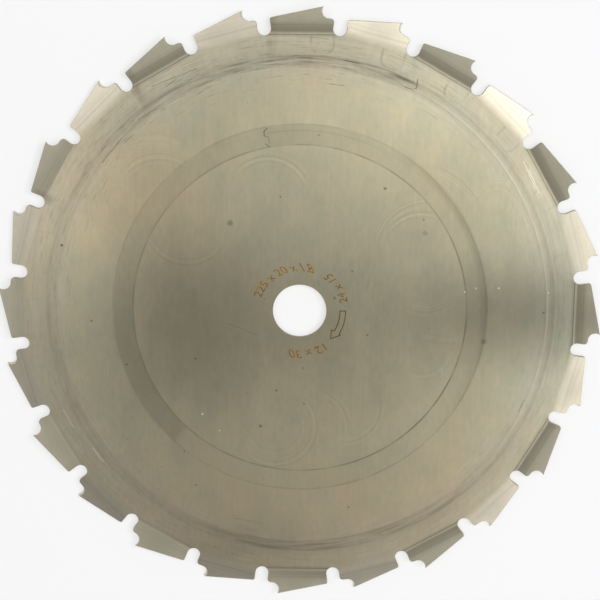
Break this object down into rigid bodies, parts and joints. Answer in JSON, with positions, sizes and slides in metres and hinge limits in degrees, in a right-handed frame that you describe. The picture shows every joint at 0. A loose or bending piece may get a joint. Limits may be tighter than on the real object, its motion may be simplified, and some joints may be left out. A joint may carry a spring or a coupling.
{
  "type": "brush cutter blade",
  "caption": "Flat round steel saw blade with a central bore and hooked chisel teeth bent up and down in turn, for clearing brush and saplings.",
  "frame": {"origin": "centre of the bore, half way through the plate's thickness", "axes": "+Z along the bore axis, out of the upper face; +Y through the middle of a tooth that is bent up"},
  "size_m": [0.2244, 0.2244, 0.004],
  "materials": {
    "blade_steel": "satin ground plate, worn"
  },
  "bodies": {
    "root": {"saw_blade": "blade_steel"}
  },
  "joints": []
}
